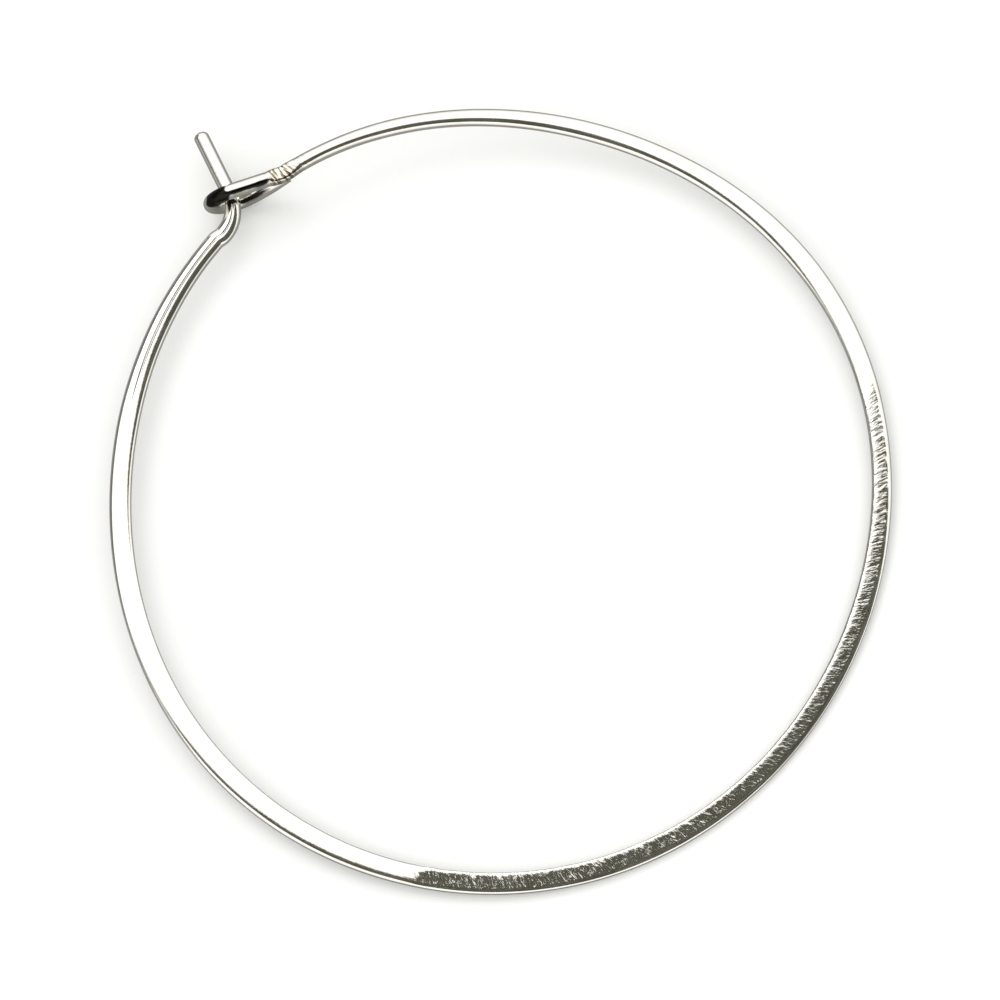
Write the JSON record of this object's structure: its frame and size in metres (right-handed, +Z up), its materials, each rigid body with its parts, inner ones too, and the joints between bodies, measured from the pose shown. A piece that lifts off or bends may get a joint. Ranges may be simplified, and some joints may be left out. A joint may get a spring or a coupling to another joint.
{
  "type": "hoop earring",
  "caption": "Hammered silver wire hoop earring: the wire's tail turns back into a small upright eye and its other end bends outward through that eye as an ear post.",
  "frame": {"origin": "middle of the earring's box, on the surface that it lies on", "axes": "+Z up out of the surface, +Y towards the top of the hoop, with the clasp at the upper left (-X, +Y) seen from above"},
  "size_m": [0.04, 0.041, 0.0034],
  "materials": {
    "silver": "polished sterling silver, planished by hand, with a slightly warm white shine"
  },
  "bodies": {
    "root": {"hoop_wire": "silver"}
  },
  "joints": []
}
